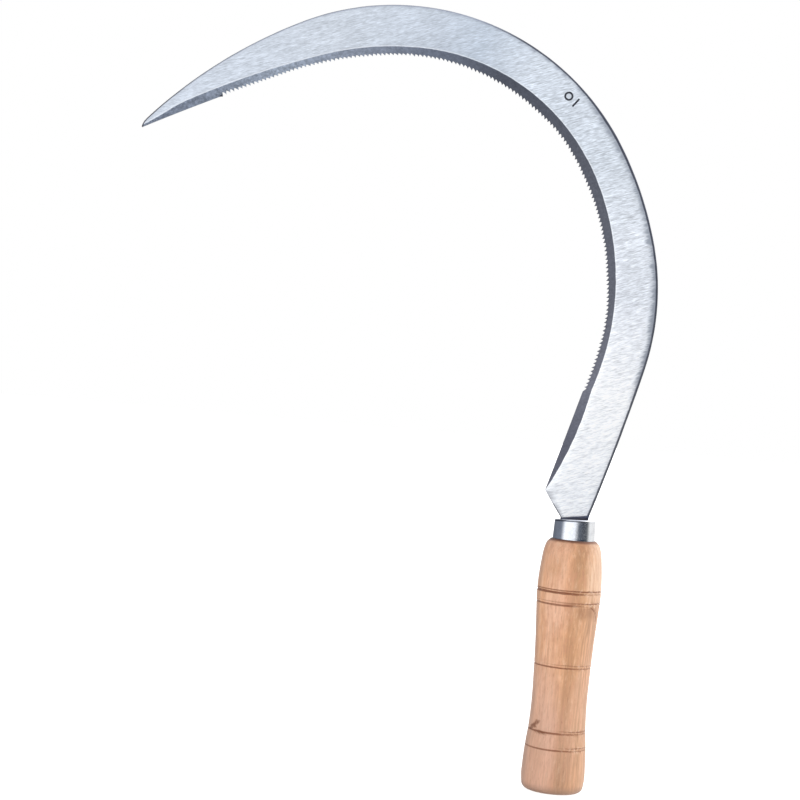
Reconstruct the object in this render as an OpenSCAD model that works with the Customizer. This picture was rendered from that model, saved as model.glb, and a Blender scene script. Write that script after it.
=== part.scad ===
// Hand sickle with a toothed hook blade, a steel ferrule and a turned wooden handle.
// Millimetres, +Z up. The handle's axis is Z, and the centre of the butt's flat end is the origin.
// The blade stands above the handle in the XZ plane and hooks towards -X.
// Its bevelled, marked front face looks towards -Y.

/* [Blade] */

// Thickness of the steel sheet
sheet_thickness = 2.0; // [1.8:0.1:2.6]

// How far the blade's plane stands in front of the tang's plane
crank_offset = 2.4; // [1.5:0.1:3]

// Tilt of the crank's fold line, rising towards the spine
crank_skew = 9; // [0:1:10]

// Width of the broken edge along the spine
spine_chamfer_width = 0.9; // [0.4:0.1:1.2]

// Depth of the broken edge along the spine
spine_chamfer_depth = 0.6; // [0.3:0.1:0.8]

/* [Cutting edge] */

// Slope of the ground bevel, in degrees
bevel_slope = 15; // [10:1:15]

// Number of saw teeth
tooth_count = 150; // [120:5:160]

// Depth of each tooth
tooth_depth = 1.4; // [0.8:0.1:1.6]

// Place of a tooth's point along its pitch, from the heel's side
tooth_lean = 0.12; // [0.05:0.01:0.5]

/* [Tang] */

// Length of the tang from its shoulders to its point
tang_length = 78; // [50:1:90]

// Width of the tang at its shoulders
tang_width = 11; // [8:0.5:13]

// Width of the tang where its point begins
tang_tip_width = 5; // [3:0.5:6]

/* [Ferrule] */

// Outer diameter at the end that meets the handle's shoulder
ferrule_base_diameter = 23; // [22.5:0.1:23.5]

// Outer diameter at the mouth, where the blade comes out
ferrule_mouth_diameter = 22.2; // [21.8:0.1:22.4]

// Height of the ferrule
ferrule_height = 10.7; // [9:0.1:12]

// Thickness of the ferrule's wall
ferrule_wall = 1.0; // [0.8:0.1:1.2]

/* [Handle] */

// Length of the handle from the butt to the ferrule
handle_length = 136.4; // [125:0.1:150]

// Largest diameter of the handle
handle_diameter = 34.8; // [32:0.1:38]

// Depth of the ring grooves
groove_depth = 0.5; // [0.2:0.1:0.8]

// Width of the ring grooves
groove_width = 1.0; // [0.6:0.1:1.4]

/* [Hidden] */

$fn = 96;

// Gap between pieces that are pressed together
press_gap = 0.05;
// How far a cutting tool passes the surface it cuts
overrun = 1;
// More than the blade's whole length
far = 500;

mouth_z = handle_length + ferrule_height;
nose_recess = 3;
nose_z = mouth_z - nose_recess;

// Curves of the blade, as chains of tangent pieces: [length, turn in degrees].
// They start at the handle and end at the blade's point. Heights count from the ferrule's mouth.
spine_start = [6.84, 2.37];
spine_heading = 72.38;
spine_chain = [
    [84.9, 3.85], [70.7, 29.31], [53.9, 15.5],
    [204.9, 84.85], [100.5, 21.99], [4.1, 28]
];
edge_start = [-17.8, 15.8];
edge_heading = 73.9;
edge_chain = [[67.6, 0.6], [113.8, 47.4], [124.7, 63.7], [57.8, 17.9], [84.7, 4.0]];
bevel_start = [-17.4, 16.2];
bevel_heading = 61.4;
bevel_chain = [
    [54.5, 16.9], [7.6, -6.4], [111.7, 44.1], [125.0, 62.3],
    [55.2, 20.5], [77.2, 9.5], [12.9, 9.3], [20.0, -7.6]
];

// Corners from the heel down to the neck, and the neck's sides inside the mouth
heel_radius = 1.6;
heel_turn = 52;
heel_facets = 5;
heel_kink = [-12.9, 7.5];
neck_corner = [-8.3, 1.1];
neck_left = -8.0;
neck_right = 6.8;

// The toothed length, measured along the cutting edge from the heel
teeth_from = 58.6;
teeth_to = 401.3;
tooth_pitch = (teeth_to - teeth_from) / tooth_count;
spine_facets = 104;
plain_facets = 10;
bevel_facets = 116;
chamfer_facets = 90;
// The cut for the broken edge starts this far before the spine's curve
chamfer_lead = 1.3;

// The front face lies this far in front of the handle's axis
front = crank_offset + sheet_thickness / 2;
// The crank rises at 45 degrees between two folds, and its upper fold starts this far below its own rise
fold_drop = 0.6;
fold_z = crank_offset - fold_drop;
half_bend = 22.5;
mitre = tan(half_bend) * sheet_thickness / 2;
bevel_reach = 12;
bevel_fall = tan(bevel_slope);
chamfer_fall = spine_chamfer_depth / spine_chamfer_width;

// Stamped inspection mark: a ring beside a short bar
mark_centre = [-22.2, 227.2];
mark_angle = -38;
mark_depth = 0.25;
mark_ring_radius = 2.4;
mark_line = 0.8;
mark_step = 2.6;
mark_bar_length = 5.4;

// Lathe profile of the handle: [share of its length, share of its largest radius]
profile = [
    [0.026, 0.966],
    [0.052, 0.989],
    [0.082, 0.989],
    [0.164, 0.957],
    [0.260, 0.888],
    [0.357, 0.862],
    [0.468, 0.880],
    [0.596, 0.914],
    [0.720, 0.972],
    [0.790, 1.000],
    [0.865, 0.977],
    [0.939, 0.919],
    [0.971, 0.865],
    [0.987, 0.815]
];
profile_steps = 5;
butt_facets = 8;
// The shoulder's flat ring outside the ferrule
shoulder_flat = 0.8;

// Roundings of the ferrule's rim: its outer side, the corner between, and its inner side
lip_round = 0.35;
lip_corner = 0.1;
lip_inside = 0.2;

// Heights of the ring grooves as shares of the handle's length
groove_shares = [0.1757, 0.2410, 0.5000, 0.7474, 0.7954, 0.8043];

steel = [0.80, 0.83, 0.88];
plated = [0.72, 0.74, 0.76];
wood = [0.84, 0.66, 0.50];

// ---- chains of tangent pieces ----

function piece_radius(piece) = piece[0] * 180 / (PI * piece[1]);

// Point at a distance along one piece, then moved to the left of the way
function piece_point(start, heading, piece, distance, left) =
    piece[1] == 0
    ? start + distance * [cos(heading), sin(heading)] + left * [-sin(heading), cos(heading)]
    : let (r = piece_radius(piece), h = heading + piece[1] * distance / piece[0])
      start + r * [sin(h) - sin(heading), cos(heading) - cos(h)] + left * [-sin(h), cos(h)];

function rest_of(chain) = [for (i = [1 : 1 : len(chain) - 1]) chain[i]];

// Point at a distance along a chain, then moved to the left of the way
function chain_point(start, heading, chain, distance, left = 0) =
    (distance <= chain[0][0] || len(chain) == 1)
    ? piece_point(start, heading, chain[0], distance, left)
    : chain_point(
        piece_point(start, heading, chain[0], chain[0][0], 0),
        heading + chain[0][1],
        rest_of(chain),
        distance - chain[0][0],
        left
    );

function chain_length(chain, i = 0) = i >= len(chain) ? 0 : chain[i][0] + chain_length(chain, i + 1);

function edge_point(distance, left = 0) = chain_point(edge_start, edge_heading, edge_chain, distance, left);

// Closed solid swept along a chain. Its profile is drawn as [distance to the right of the way, height].
module along_chain(start, heading, chain, profile, count) {
    sides = len(profile);
    last = sides * count;
    length = chain_length(chain);
    corners = [
        for (i = [0 : count])
        for (p = profile)
        let (at = chain_point(start, heading, chain, length * i / count, -p[0]))
        [at[0], at[1], p[1]]
    ];
    walls = [
        for (i = [0 : count - 1])
        for (k = [0 : sides - 1])
        let (a = i * sides + k, b = i * sides + (k + 1) % sides)
        for (face = [[a, b + sides, a + sides], [a, b, b + sides]])
        face
    ];
    caps = [
        [for (k = [sides - 1 : -1 : 0]) k],
        [for (k = [0 : sides - 1]) last + k]
    ];
    polyhedron(points = corners, faces = concat(walls, caps), convexity = 10);
}

// ---- blade ----

spine_length = chain_length(spine_chain);
edge_length = chain_length(edge_chain);

spine_outline = [
    for (i = [0 : spine_facets])
    chain_point(spine_start, spine_heading, spine_chain, spine_length * i / spine_facets)
];

plain_tip_outline = [
    for (i = [0 : plain_facets])
    edge_point(edge_length + (teeth_to + tooth_pitch * tooth_lean - edge_length) * i / plain_facets)
];

// Each tooth has a steep side towards the heel and a long side towards the blade's point
tooth_outline = [
    for (i = [tooth_count - 1 : -1 : 0])
    for (corner = [[1, -tooth_depth], [tooth_lean, 0]])
    edge_point(teeth_from + tooth_pitch * (i + corner[0]), corner[1])
];

plain_heel_outline = [
    for (i = [0 : plain_facets])
    edge_point((teeth_from - tooth_pitch) * (1 - i / plain_facets))
];

heel_centre = edge_start + heel_radius * [sin(edge_heading), -cos(edge_heading)];
heel_outline = [
    for (i = [1 : heel_facets])
    let (a = edge_heading + 90 + heel_turn * i / heel_facets)
    heel_centre + heel_radius * [cos(a), sin(a)]
];

// The tang below its shoulders, wider by a gap on each side
function tang_sides(gap) = [
    [-tang_width / 2 - gap, -nose_recess + press_gap],
    [-tang_tip_width / 2 - gap, -nose_recess - tang_length + tang_tip_width],
    [0, -nose_recess - tang_length - gap],
    [tang_tip_width / 2 + gap, -nose_recess - tang_length + tang_tip_width],
    [tang_width / 2 + gap, -nose_recess + press_gap]
];

module blade_outline() {
    polygon(concat(
        spine_outline,
        plain_tip_outline,
        tooth_outline,
        [edge_point(teeth_from, -tooth_depth)],
        plain_heel_outline,
        heel_outline,
        [heel_kink, neck_corner, [neck_left, -nose_recess + press_gap]],
        tang_sides(0),
        [[neck_right, -nose_recess + press_gap]]
    ));
}

// The bent sheet seen from the side, as [y, z]
module crank_profile() {
    half = sheet_thickness / 2;
    polygon([
        [-half, -far],
        [-half, fold_z - crank_offset - mitre],
        [-front, fold_z - mitre],
        [-front, far],
        [-front + sheet_thickness, far],
        [-front + sheet_thickness, fold_z + mitre],
        [half, fold_z - crank_offset + mitre],
        [half, -far]
    ]);
}

module bent_sheet() {
    rotate([0, -crank_skew, 0])
    translate([-far, 0, 0])
    rotate([90, 0, 90])
    linear_extrude(height = 2 * far)
    crank_profile();
}

module bevel_tool() {
    along_chain(bevel_start, bevel_heading, bevel_chain, [
        [-bevel_reach, front - bevel_reach * bevel_fall],
        [overrun, front + overrun * bevel_fall],
        [overrun, front + 2 * overrun],
        [-bevel_reach, front + 2 * overrun]
    ], bevel_facets);
}

module spine_tool() {
    lead = chamfer_lead * [cos(spine_heading), sin(spine_heading)];
    along_chain(spine_start - lead, spine_heading, concat([[chamfer_lead, 0]], spine_chain), [
        [-spine_chamfer_width - overrun, front + overrun * chamfer_fall],
        [overrun, front - (spine_chamfer_width + overrun) * chamfer_fall],
        [overrun, front + 2 * overrun],
        [-spine_chamfer_width - overrun, front + 2 * overrun]
    ], chamfer_facets);
}

module mark_tool() {
    translate([mark_centre[0], mark_centre[1], front - mark_depth])
    rotate([0, 0, mark_angle]) {
        translate([-mark_step, 0, 0])
        difference() {
            cylinder(h = overrun, r = mark_ring_radius);
            translate([0, 0, -overrun])
            cylinder(h = 3 * overrun, r = mark_ring_radius - mark_line);
        }
        translate([mark_step - mark_line / 2, -mark_bar_length / 2, 0])
        cube([mark_line, mark_bar_length, overrun]);
    }
}

module blade() {
    color(steel)
    translate([0, 0, mouth_z])
    difference() {
        intersection() {
            translate([0, 2 * front, 0])
            rotate([90, 0, 0])
            linear_extrude(height = 4 * front)
            blade_outline();
            bent_sheet();
        }
        rotate([90, 0, 0])
        bevel_tool();
        rotate([90, 0, 0])
        spine_tool();
        rotate([90, 0, 0])
        mark_tool();
    }
}

// ---- ferrule ----

module ferrule() {
    base = ferrule_base_diameter / 2;
    mouth = ferrule_mouth_diameter / 2;
    height = ferrule_height - press_gap;
    color(plated)
    translate([0, 0, handle_length + press_gap])
    rotate_extrude()
    polygon([
        [base - ferrule_wall, 0],
        [base, 0],
        [mouth, height - lip_round],
        [mouth - lip_corner, height - lip_corner],
        [mouth - lip_round, height],
        [mouth - ferrule_wall + lip_inside, height],
        [mouth - ferrule_wall, height - lip_inside]
    ]);
}

// ---- handle ----

// Smooth curve through the profile's points
function smooth(a, b, c, d, t) =
    0.5 * (2 * b + (c - a) * t + (2 * a - 5 * b + 4 * c - d) * t * t + (3 * b - a - 3 * c + d) * t * t * t);

function station(i) =
    let (p = profile[max(0, min(len(profile) - 1, i))])
    [p[1] * handle_diameter / 2, p[0] * handle_length];

side_outline = [
    for (i = [0 : len(profile) - 2])
    for (k = [0 : profile_steps - 1])
    smooth(station(i - 1), station(i), station(i + 1), station(i + 2), k / profile_steps)
];

// Radius of the handle at a height
function handle_radius(z) = lookup(z, [for (p = side_outline) [p[1], p[0]]]);

butt_round = station(0)[1];
butt_outline = [
    for (i = [0 : butt_facets - 1])
    station(0) - butt_round * [1 - sin(90 * i / butt_facets), cos(90 * i / butt_facets)]
];

module ring_groove(z) {
    r = handle_radius(z);
    half = groove_width / 2;
    steep = half / groove_depth;
    rotate_extrude()
    polygon([
        [r - groove_depth, z],
        [r + overrun, z + half + overrun * steep],
        [r + overrun, z - half - overrun * steep]
    ]);
}

module handle() {
    base = ferrule_base_diameter / 2 - ferrule_wall - press_gap;
    mouth = ferrule_mouth_diameter / 2 - ferrule_wall - press_gap;
    nose = base + (mouth - base) * (ferrule_height - nose_recess) / ferrule_height;
    color(wood)
    difference() {
        rotate_extrude()
        polygon(concat(
            [[0, 0]],
            butt_outline,
            side_outline,
            [
                station(len(profile) - 1),
                [ferrule_base_diameter / 2 + shoulder_flat, handle_length],
                [base, handle_length],
                [nose, nose_z],
                [0, nose_z]
            ]
        ));
        for (share = groove_shares) ring_groove(share * handle_length);
        translate([0, sheet_thickness / 2 + press_gap, mouth_z])
        rotate([90, 0, 0])
        linear_extrude(height = sheet_thickness + 2 * press_gap)
        polygon(concat(
            tang_sides(press_gap),
            [
                [tang_width / 2 + press_gap, overrun],
                [-tang_width / 2 - press_gap, overrun]
            ]
        ));
    }
}

blade();
ferrule();
handle();
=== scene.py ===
import math

import bmesh
import bpy
import numpy as np
from mathutils import Matrix, Vector


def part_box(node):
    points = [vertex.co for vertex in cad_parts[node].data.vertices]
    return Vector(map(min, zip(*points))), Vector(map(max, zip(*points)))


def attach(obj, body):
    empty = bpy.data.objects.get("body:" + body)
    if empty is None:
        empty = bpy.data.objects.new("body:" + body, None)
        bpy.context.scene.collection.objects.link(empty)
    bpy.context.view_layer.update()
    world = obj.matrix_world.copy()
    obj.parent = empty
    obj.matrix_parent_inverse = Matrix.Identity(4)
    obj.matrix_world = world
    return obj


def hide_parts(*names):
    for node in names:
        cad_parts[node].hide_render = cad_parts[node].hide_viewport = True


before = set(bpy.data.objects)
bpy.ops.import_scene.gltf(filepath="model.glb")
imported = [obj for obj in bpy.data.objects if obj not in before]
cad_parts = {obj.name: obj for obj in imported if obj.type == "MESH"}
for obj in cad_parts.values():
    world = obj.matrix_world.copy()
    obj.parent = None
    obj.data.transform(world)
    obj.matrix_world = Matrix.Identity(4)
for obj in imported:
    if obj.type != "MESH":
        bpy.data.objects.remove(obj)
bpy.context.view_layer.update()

MM = 0.001
TEETH_SEED = 45
rng = np.random.default_rng(TEETH_SEED)
scene = bpy.context.scene

# ---- measures, in millimetres
# The flat sheet is drawn in x and z, z counted from the ferrule's mouth. A chain is its start, its first
# heading, and its arcs as (length, turn), in degrees.
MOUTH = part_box("ferrule")[1].z / MM
HANDLE_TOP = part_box("ferrule")[0].z / MM
SHEET = 2.0
FRONT = -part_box("blade")[0].y / MM
CRANK = FRONT - SHEET / 2
CRANK_SKEW = math.radians(9)
FOLD_Z = CRANK - 0.6
BEVEL_SLOPE = math.tan(math.radians(15))

SPINE = ((6.84, 2.37), 72.38,
         ((84.9, 3.85), (70.7, 29.31), (53.9, 15.5), (204.9, 84.85), (100.5, 21.99), (4.1, 28)))
EDGE = ((-17.8, 15.8), 73.9, ((67.6, 0.6), (113.8, 47.4), (124.7, 63.7), (57.8, 17.9), (84.7, 4.0)))
BEVEL = ((-17.4, 16.2), 61.4,
         ((54.5, 16.9), (7.6, -6.4), (111.7, 44.1), (125.0, 62.3), (55.2, 20.5), (77.2, 9.5), (12.9, 9.3),
          (20.0, -7.6)))
TEETH_FROM, TEETH_TO, TEETH = 58.6, 401.3, 150
TOOTH_DEPTH = 1.4
SPINE_LOW = 14.0  # where the spine is level with the heel
CHAMFER_WIDTH, CHAMFER_DEPTH = 0.9, 0.6
HEEL_RADIUS, HEEL_TURN = 1.6, 52
HEEL_KINK = (-12.9, 7.5)
NECK_CORNER = (-8.3, 1.1)
NECK_LEFT, NECK_RIGHT = -8.0, 6.8
NOSE_RECESS = 3.0
TANG_LENGTH, TANG_WIDTH, TANG_TIP = 78.0, 11.0, 5.0
MARK_CENTRE, MARK_ANGLE = (-22.2, 227.2), -38.0
FERRULE_HEIGHT, FERRULE_WALL = 10.7, 1.0
FERRULE_BASE, FERRULE_MOUTH = 11.5, 11.1  # radii
NOSE_GAP = 0.05
HANDLE_LENGTH = MOUTH - FERRULE_HEIGHT
HANDLE_RADIUS = (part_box("handle")[1].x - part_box("handle")[0].x) / MM / 2
SHOULDER_RADIUS = 12.3
# turned outline: (share of the length, share of the radius)
PROFILE = ((.026, .966), (.052, .989), (.082, .989), (.164, .957), (.26, .888), (.357, .862), (.468, .88),
           (.596, .914), (.72, .972), (.79, 1), (.865, .977), (.939, .919), (.971, .865), (.987, .815))
# turned lines: share of the length, width, depth, and how strongly each is cut on the left, front and right
GROOVE_LINES = (
    (0.1757, 0.95, 0.36, (0.8, 1.0, 0.75)), (0.1757 + 0.0102, 0.7, 0.26, (0.0, 0.25, 0.9)),
    (0.241, 1.05, 0.38, (0.9, 1.0, 0.7)), (0.241 + 0.0098, 0.7, 0.28, (0.0, 0.35, 1.0)),
    (0.5, 0.9, 0.34, (0.9, 1.0, 0.75)), (0.5 + 0.011, 0.65, 0.26, (0.0, 0.7, 0.7)),
    (0.7474, 1.15, 0.38, (0.9, 1.0, 0.4)), (0.7474 + 0.011, 0.8, 0.28, (0.45, 0.7, 1.0)),
    (0.7954, 1.3, 0.5, (1.0, 1.0, 0.45)), (0.8055, 0.8, 0.3, (0.7, 0.75, 1.0)),
)
DARK_LINES_FROM = 0.79  # share of the length
LINE_REACH, LINE_STEP, LEAST_STEP = 1.7, 0.13, 0.085  # fine rows of the mesh round each line


# ---- curves made of tangent arcs
def chain_length(chain):
    return sum(piece[0] for piece in chain[2])


def chain_point(chain, distance):
    """Point and heading (radians) at a distance along a chain."""
    (x, z), heading, pieces = chain
    at = np.array([x, z], float)
    heading = math.radians(heading)
    for k, (length, turn) in enumerate(pieces):
        turn = math.radians(turn)
        last = k == len(pieces) - 1
        d = distance if last else min(distance, length)
        here = heading + turn * d / length
        if turn:
            r = length / turn
            step = r * np.array([math.sin(here) - math.sin(heading), math.cos(heading) - math.cos(here)])
        else:
            step = d * np.array([math.cos(heading), math.sin(heading)])
        at = at + step
        heading = here
        if last or distance <= length:
            break
        distance -= length
    return at, heading


def right_of(heading):
    return np.array([math.sin(heading), -math.cos(heading)])


def norm(vector):
    return float(np.hypot(*vector))


def bell(x, middle, width):
    return np.exp(-((x - middle) / width) ** 2)


def window(x, low, high, fade_in, fade_out):
    """1 between low and high, fading in above low and out below high."""
    return np.clip((x - low) / fade_in, 0, 1) * np.clip((high - x) / fade_out, 0, 1)


def smooth_noise(x, seed, octaves=3):
    """Seeded smooth noise of one number, in about -1..1."""
    x = np.asarray(x, float)
    total, size = np.zeros_like(x), 0.0
    for k in range(octaves):
        r = np.random.default_rng(seed * 31 + k)
        table = r.uniform(-1, 1, 4096)
        p = x * 2 ** k + 100.0
        i = np.floor(p).astype(int)
        f = p - i
        f = f * f * (3 - 2 * f)
        total += (table[i % 4096] * (1 - f) + table[(i + 1) % 4096] * f) / 2 ** k
        size += 1 / 2 ** k
    return total / size


def new_object(name, verts, faces, smooth_angle=32):
    mesh = bpy.data.meshes.new(name)
    mesh.from_pydata([tuple(v) for v in verts], [], faces)
    bm = bmesh.new()
    bm.from_mesh(mesh)
    bmesh.ops.recalc_face_normals(bm, faces=bm.faces)
    bm.to_mesh(mesh)
    bm.free()
    obj = bpy.data.objects.new(name, mesh)
    scene.collection.objects.link(obj)
    shade(mesh, smooth_angle)
    return obj


def shade(mesh, smooth_angle):
    mesh.polygons.foreach_set("use_smooth", [True] * len(mesh.polygons))
    mesh.set_sharp_from_angle(angle=math.radians(smooth_angle))
    mesh.update()


def set_attribute(mesh, name, values):
    layer = mesh.attributes.get(name) or mesh.attributes.new(name, "FLOAT", "POINT")
    layer.data.foreach_set("value", np.asarray(values, np.float32))


def tube_faces(rings, around):
    steps = [(k, (k + 1) % around) for k in range(around)]
    starts = [i * around for i in range(rings - 1)]
    return [(i + k, i + after, i + around + after, i + around + k) for i in starts for k, after in steps]


def capped_tube_faces(rings, around):
    last = (rings - 1) * around
    return tube_faces(rings, around) + [tuple(range(around)), tuple(last + k for k in range(around))]


# ---- blade
def tip_lift(d):
    """How far the teeth's points lie inside the edge's curve where they are worn or ground back."""
    return 0.62 * bell(d, 97, 15) + 0.55 * bell(d, 200, 12)


def gullet_depth(d):
    return TOOTH_DEPTH + 0.5 * min(1.0, max(0.0, (d - 378) / 14))


def edge_stations():
    """(distance along the edge, depth cut into it), from the heel to the point, with slightly uneven teeth."""
    pitch = (TEETH_TO - TEETH_FROM) / TEETH
    plain = TEETH_FROM - pitch
    out = [(plain * k / 26, 0.0) for k in range(27)]
    root = TOOTH_DEPTH
    out.append((TEETH_FROM - pitch * 0.45, root * 0.5))
    for i in range(TEETH):
        at = TEETH_FROM + pitch * i
        lean = 0.14 + rng.uniform(-0.04, 0.06)
        lift = tip_lift(at) + rng.uniform(-0.14, 0.12)
        depth = gullet_depth(at) * rng.uniform(0.9, 1.08)
        next_root = tip_lift(at) + depth
        shift = rng.uniform(-0.03, 0.03)
        out += [
            (at - 0.02 * pitch, root), (at + 0.03 * pitch, root * 0.97),
            (at + lean * pitch * 0.8, lift + 0.22), (at + (lean + 0.03) * pitch, lift),
            (at + (lean + 0.09) * pitch, lift + 0.2 * depth),
            (at + (0.48 + shift) * pitch, lift + 0.6 * depth),
            (at + (0.82 + shift) * pitch, lift + 0.93 * (next_root - lift)),
        ]
        root = next_root
    # the last gullet's wall, with a small burr pushed up beside it
    out += [(TEETH_TO - 0.25, root), (TEETH_TO, root * 0.96), (TEETH_TO + 0.18, 0.0), (TEETH_TO + 0.32, -0.38)]
    out += [(TEETH_TO + 0.8, -0.3), (TEETH_TO + 1.5, -0.04)]
    start = TEETH_TO + pitch
    total = chain_length(EDGE)
    out += [(start + (total - start) * k / 22, 0.0) for k in range(23)]
    return out


def bend(points, level):
    """Flat sheet points and depths behind the front face -> 3-D points, with the crank bent near the mouth."""
    x, z = points[:, 0], points[:, 1]
    w = level - SHEET / 2
    softness = 1.3
    up = np.array([-math.sin(CRANK_SKEW), math.cos(CRANK_SKEW)])
    lift = x * up[0] + z * up[1]
    table = np.linspace(-12, 12, 961)
    step = table[1] - table[0]
    ramp = np.interp(table, [FOLD_Z - CRANK, FOLD_Z], [0.0, 1.0])
    width = int(softness / step)
    kernel = np.hanning(width)
    ramp = np.convolve(np.pad(ramp, width, mode="edge"), kernel / kernel.sum(), mode="same")[width:-width]
    slope = np.gradient(-CRANK * ramp, step)
    middle = np.interp(lift, table, -CRANK * ramp)
    grade = np.interp(lift, table, slope)
    size = np.sqrt(1 + grade ** 2)
    shift = -grade / size * w
    out = np.empty((len(x), 3))
    out[:, 0] = x + up[0] * shift
    out[:, 2] = z + up[1] * shift
    out[:, 1] = middle + w / size
    return out


def blade_loops():
    """Closed loops of (x, z, depth) round the blade, from the tang's end to the blade's point."""
    loops = []
    face_columns = 7
    spine_total, edge_total, bevel_total = chain_length(SPINE), chain_length(EDGE), chain_length(BEVEL)
    end_slope, end_drop, end_inset = 0.25, 0.3, 0.2

    def loop(s, e_base, e_cut, b, bevel_drop, edge_drop, root_inset):
        """From the spine s over the front face to the bevel's line b, down to the edge, and back behind."""
        across = e_base - s
        width = norm(across)
        way = across / width
        inset = min(CHAMFER_WIDTH, 0.26 * width)
        round_depth = CHAMFER_DEPTH * inset / CHAMFER_WIDTH
        pts = []
        for k in range(6):
            a = math.radians(18 * k)
            pts.append((*(s + way * inset * (1 - math.cos(a))), round_depth * (1 - math.sin(a))))
        start = s + way * inset
        crease = min(0.12, 0.1 * width)
        pts += [(*(start + (b - start) * k / face_columns), 0.0) for k in range(1, face_columns)]
        span = norm(e_base - b)
        down = (e_base - b) / max(span, 1e-6)
        crease = min(crease, span * 0.2)
        pts.append((*(b - way * crease), 0.0))
        pts.append((*(b + down * crease), crease * bevel_drop))
        r = e_base - down * min(root_inset, span * 0.5)
        for point in ((b + r) / 2, r):
            pts.append((*point, norm(point - b) * bevel_drop))
        reach = float(np.dot(e_cut - b, down))
        pts += [(*e_cut, max(reach * bevel_drop, edge_drop)), (*e_cut, SHEET), (*r, SHEET)]
        back = s + way * 0.3
        pts += [(*(r + (back - r) * k / 5), SHEET) for k in range(1, 5)]
        return pts + [(*back, SHEET), (*s, SHEET - 0.25)]

    # where the bevel's line crosses each loop
    bevel_line = np.array([chain_point(BEVEL, d)[0] for d in np.linspace(0, bevel_total, 3000)])

    def crossing(e, s):
        way = (s - e) / norm(s - e)
        gap = bevel_line - e
        ahead = gap @ way
        aside = np.abs(gap[:, 0] * way[1] - gap[:, 1] * way[0])
        aside[(ahead < 0) | (ahead > 25)] = 1e9
        k = int(aside.argmin())
        return bevel_line[k], way

    def bevel_wave(d):
        wave = 0.14 * float(smooth_noise(d / 7.0, 3)) + 0.1 * float(smooth_noise(d / 2.6, 4))
        return wave + 0.5 * bell(d, 45, 7) - 0.4 * bell(d, 146, 16)

    # from the blade's point back to the heel
    for distance, cut in reversed(edge_stations()):
        t = distance / edge_total
        s, s_way = chain_point(SPINE, SPINE_LOW + (spine_total - SPINE_LOW) * t)
        e, e_way = chain_point(EDGE, distance)
        e_cut = e + cut * right_of(e_way)
        b, in_way = crossing(e, s)
        gap = norm(b - e)
        b = b + in_way * bevel_wave(distance) * min(1.0, gap / 4)
        s = s + 0.05 * float(smooth_noise(distance / 6.0, 5)) * right_of(s_way)
        inset = tip_lift(distance) + gullet_depth(distance) * 1.08 + 0.25
        loops.append(loop(s, e, e_cut, b, BEVEL_SLOPE, 0.12, inset))

    # round the heel
    e0, way0 = chain_point(EDGE, 0.0)
    centre = e0 + HEEL_RADIUS * right_of(way0)
    for k in range(1, 7):
        a = way0 + math.pi / 2 + math.radians(HEEL_TURN) * k / 6
        e = centre + HEEL_RADIUS * np.array([math.cos(a), math.sin(a)])
        s, _ = chain_point(SPINE, SPINE_LOW - 0.25 * k)
        way = (e - s) / norm(e - s)
        loops.append(loop(s, e, e, e - way * 0.55, end_slope, end_drop, end_inset))

    # down the neck to the shoulders
    spine_way = math.radians(SPINE[1])
    heel_end = e
    left_z = [heel_end[1], HEEL_KINK[1], NECK_CORNER[1], -NOSE_RECESS]
    left_x = [heel_end[0], HEEL_KINK[0], NECK_CORNER[0], NECK_LEFT]
    top = heel_end[1]
    levels = list(np.linspace(top - 0.7, 4.2, 14)) + list(np.linspace(3.95, -2.75, 36))
    for z in levels:
        x_left = float(np.interp(z, left_z[::-1], left_x[::-1]))
        if z >= SPINE[0][1]:
            x_right = SPINE[0][0] + (z - SPINE[0][1]) / math.tan(spine_way)
        else:
            x_right = float(np.interp(z, [-NOSE_RECESS, SPINE[0][1]], [NECK_RIGHT, SPINE[0][0]]))
        lift = 1.0 if z > 8 else max(0.0, (z - 1.0) / 7)
        s = np.array([x_right, z - 0.9 * lift])
        s[0] += (s[1] - z) / math.tan(spine_way) if z >= SPINE[0][1] else 0.0
        e = np.array([x_left, z])
        way = (e - s) / norm(e - s)
        loops.append(loop(s, e, e, e - way * 0.55, end_slope, end_drop, end_inset))

    # the tang
    for z, half in [
        (-NOSE_RECESS + 0.05, TANG_WIDTH / 2),
        (-NOSE_RECESS - 2, TANG_WIDTH / 2 - 0.1),
        *[
            (-NOSE_RECESS - (TANG_LENGTH - TANG_TIP) * k / 10,
             TANG_WIDTH / 2 + (TANG_TIP - TANG_WIDTH) / 2 * k / 10)
            for k in range(1, 11)
        ],
        (-NOSE_RECESS - TANG_LENGTH + 2.6, 1.6),
        (-NOSE_RECESS - TANG_LENGTH + 0.4, 0.45),
    ]:
        s, e = np.array([half, z]), np.array([-half, z])
        loops.append(loop(s, e, e, e + np.array([min(0.55, half * 0.4), 0.0]), end_slope, 0.2, end_inset))
    return loops


def build_blade():
    loops = blade_loops()
    around = len(loops[0])
    flat = np.array([p for l in loops for p in l], float)
    pts = bend(flat[:, :2], flat[:, 2])
    pts[:, 2] += MOUTH
    return new_object("sickle_blade", pts * MM, capped_tube_faces(len(loops), around))


def cutter_prism(name, outline, low, high, inner=None):
    """Closed prism across the XZ plane between two depths (y); a ring when an inner outline is given."""
    n = len(outline)
    verts, faces = [], []
    loops = [(outline, low), (outline, high)]
    if inner is not None:
        loops += [(inner, high), (inner, low)]
    for pts, y in loops:
        verts += [(p[0] * MM, y * MM, (p[1] + MOUTH) * MM) for p in pts]
    for a in range(len(loops) if inner is not None else 1):
        b = (a + 1) % len(loops)
        faces += [(a * n + k, a * n + (k + 1) % n, b * n + (k + 1) % n, b * n + k) for k in range(n)]
    if inner is None:
        faces.append(tuple(range(n)))
        faces.append(tuple(n + k for k in range(n)))
    return new_object(name, verts, faces)


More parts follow.
